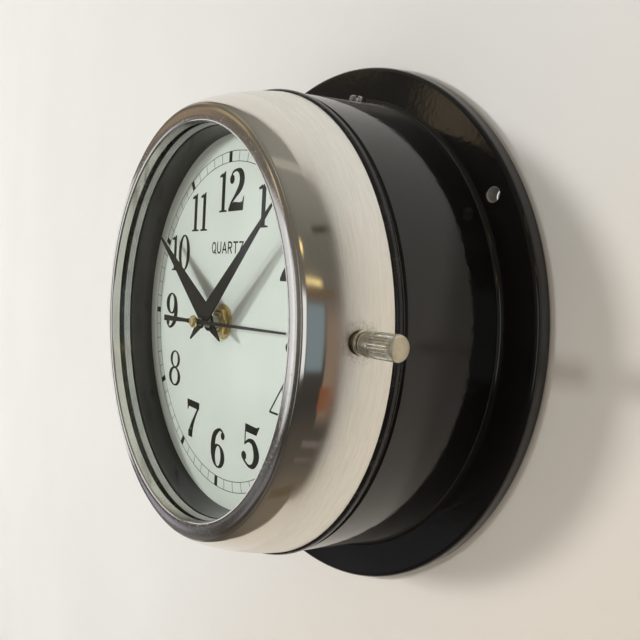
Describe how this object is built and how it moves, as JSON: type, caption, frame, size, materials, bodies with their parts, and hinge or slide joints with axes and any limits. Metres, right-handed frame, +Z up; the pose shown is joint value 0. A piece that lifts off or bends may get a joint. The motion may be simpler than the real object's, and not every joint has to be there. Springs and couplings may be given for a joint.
{
  "type": "ships deck clock",
  "caption": "Round flanged bulkhead clock with a black enamelled case, a hinged aluminium bezel closed by a knurled thumb screw, a numbered white dial and a quartz movement.",
  "frame": {"origin": "centre of the wall face, on the bulkhead plane", "axes": "+Y into the bulkhead, so the dial faces -Y; +Z up towards 12 o'clock; +X towards 3 o'clock"},
  "size_m": [0.23, 0.0804, 0.23],
  "materials": {
    "enamel": "gloss black enamel with a slight orange peel",
    "bezel_aluminium": "satin turned skirt, polished front",
    "ring_aluminium": "turned, dull",
    "steel": "zinc plated",
    "nickel": "worn nickel plate over brass",
    "brass": "turned, slightly tarnished",
    "rubber": "smooth black moulded rubber",
    "glass": "clear flat window glass",
    "dial_paint": "satin off-white paint, printed black",
    "dial_ring_lacquer": "dark brown-black lacquer",
    "hand_lacquer": "satin black lacquer",
    "black_plastic": "moulded",
    "nylon": "moulded",
    "circuit_laminate": "solder mask",
    "copper_winding": "enamelled copper wire",
    "battery_jacket": "printed sleeve"
  },
  "bodies": {
    "case": {"case_body": "enamel", "case_side_screw": "steel", "rear_cover": "enamel", "rear_cover_screw_1": "steel", "rear_cover_screw_2": "steel", "rear_cover_screw_3": "steel", "rear_cover_screw_4": "steel", "bezel_gasket": "rubber", "dial_plate": "dial_paint", "dial_ring": "dial_ring_lacquer", "dial_screw_1": "steel", "dial_screw_2": "steel", "dial_screw_3": "steel", "hinge_leaf_case": "enamel", "hinge_case_screw_1": "steel", "hinge_case_screw_2": "steel", "hinge_pin": "steel", "movement_shell": "black_plastic", "movement_cover": "black_plastic", "middle_plate": "nylon", "threaded_bush": "brass", "rubber_washer": "rubber", "brass_washer": "brass", "hex_nut": "brass", "stator": "steel", "coil_core": "steel", "coil": "copper_winding", "circuit_board": "circuit_laminate", "quartz_crystal": "steel", "battery": "battery_jacket", "battery_contact_positive": "steel", "battery_contact_negative": "steel"},
    "door": {"bezel": "bezel_aluminium", "glass": "glass", "glass_gasket": "rubber", "glass_retaining_ring": "ring_aluminium", "retaining_ring_screw_1": "steel", "retaining_ring_screw_2": "steel", "retaining_ring_screw_3": "steel", "retaining_ring_screw_4": "steel", "hinge_leaf_bezel": "bezel_aluminium", "hinge_bezel_screw_1": "steel", "hinge_bezel_screw_2": "steel", "thumbscrew_bush": "brass"},
    "screw_washer": {"thumbscrew_washer": "nickel"},
    "screw": {"thumbscrew": "nickel"},
    "seconds": {"seconds_wheel": "nylon", "second_hand": "hand_lacquer", "second_hand_boss": "brass"},
    "minutes": {"centre_wheel": "nylon", "minute_hand": "hand_lacquer"},
    "hours": {"hour_wheel": "nylon", "hour_hand": "hand_lacquer"},
    "third": {"third_wheel": "nylon"},
    "motion": {"motion_wheel": "nylon", "setting_knob": "black_plastic"},
    "intermediate": {"intermediate_wheel": "nylon"},
    "rotor": {"rotor": "steel"}
  },
  "joints": [
    {"name": "bezel_hinge", "type": "hinge", "parent": "case", "child": "door", "pos_m": [-0.0992, -0.0499, 0], "axis": [0, 0, -1], "range_deg": [0, 105]},
    {"name": "thumbscrew_travel", "type": "slide", "parent": "door", "child": "screw_washer", "axis": [0.9997, 0, 0.0227], "range_m": [0, 0.00175]},
    {"name": "thumbscrew_turn", "type": "hinge", "parent": "screw_washer", "child": "screw", "pos_m": [0.09997, -0.06325, 0.00227], "axis": [0.9997, 0, 0.0227], "range_deg": [0, 902]},
    {"name": "seconds_spin", "type": "hinge", "parent": "case", "child": "seconds", "pos_m": [0, -0.05, 0], "axis": [0, 1, 0], "continuous": true},
    {"name": "minutes_spin", "type": "hinge", "parent": "case", "child": "minutes", "pos_m": [0, -0.05, 0], "axis": [0, 1, 0], "continuous": true},
    {"name": "hours_spin", "type": "hinge", "parent": "case", "child": "hours", "pos_m": [0, -0.05, 0], "axis": [0, 1, 0], "continuous": true},
    {"name": "third_spin", "type": "hinge", "parent": "case", "child": "third", "pos_m": [-0.00369, -0.05, 0.01015], "axis": [0, 1, 0], "continuous": true},
    {"name": "motion_spin", "type": "hinge", "parent": "case", "child": "motion", "pos_m": [0.01128, -0.05, 0.0041], "axis": [0, 1, 0], "continuous": true},
    {"name": "intermediate_spin", "type": "hinge", "parent": "case", "child": "intermediate", "pos_m": [-0.0084, -0.05, 0], "axis": [0, 1, 0], "continuous": true},
    {"name": "rotor_spin", "type": "hinge", "parent": "case", "child": "rotor", "pos_m": [-0.012, -0.05, 0.00624], "axis": [0, 1, 0], "continuous": true}
  ],
  "couplings": [
    {"joint": "thumbscrew_turn", "follows": "thumbscrew_travel", "rad_per_m": 8976},
    {"joint": "minutes_spin", "follows": "seconds_spin", "ratio": 0.016667},
    {"joint": "hours_spin", "follows": "seconds_spin", "ratio": 0.0013889},
    {"joint": "third_spin", "follows": "seconds_spin", "ratio": -0.13333},
    {"joint": "motion_spin", "follows": "seconds_spin", "ratio": -0.0055556},
    {"joint": "intermediate_spin", "follows": "seconds_spin", "ratio": -6},
    {"joint": "rotor_spin", "follows": "seconds_spin", "ratio": 30}
  ]
}
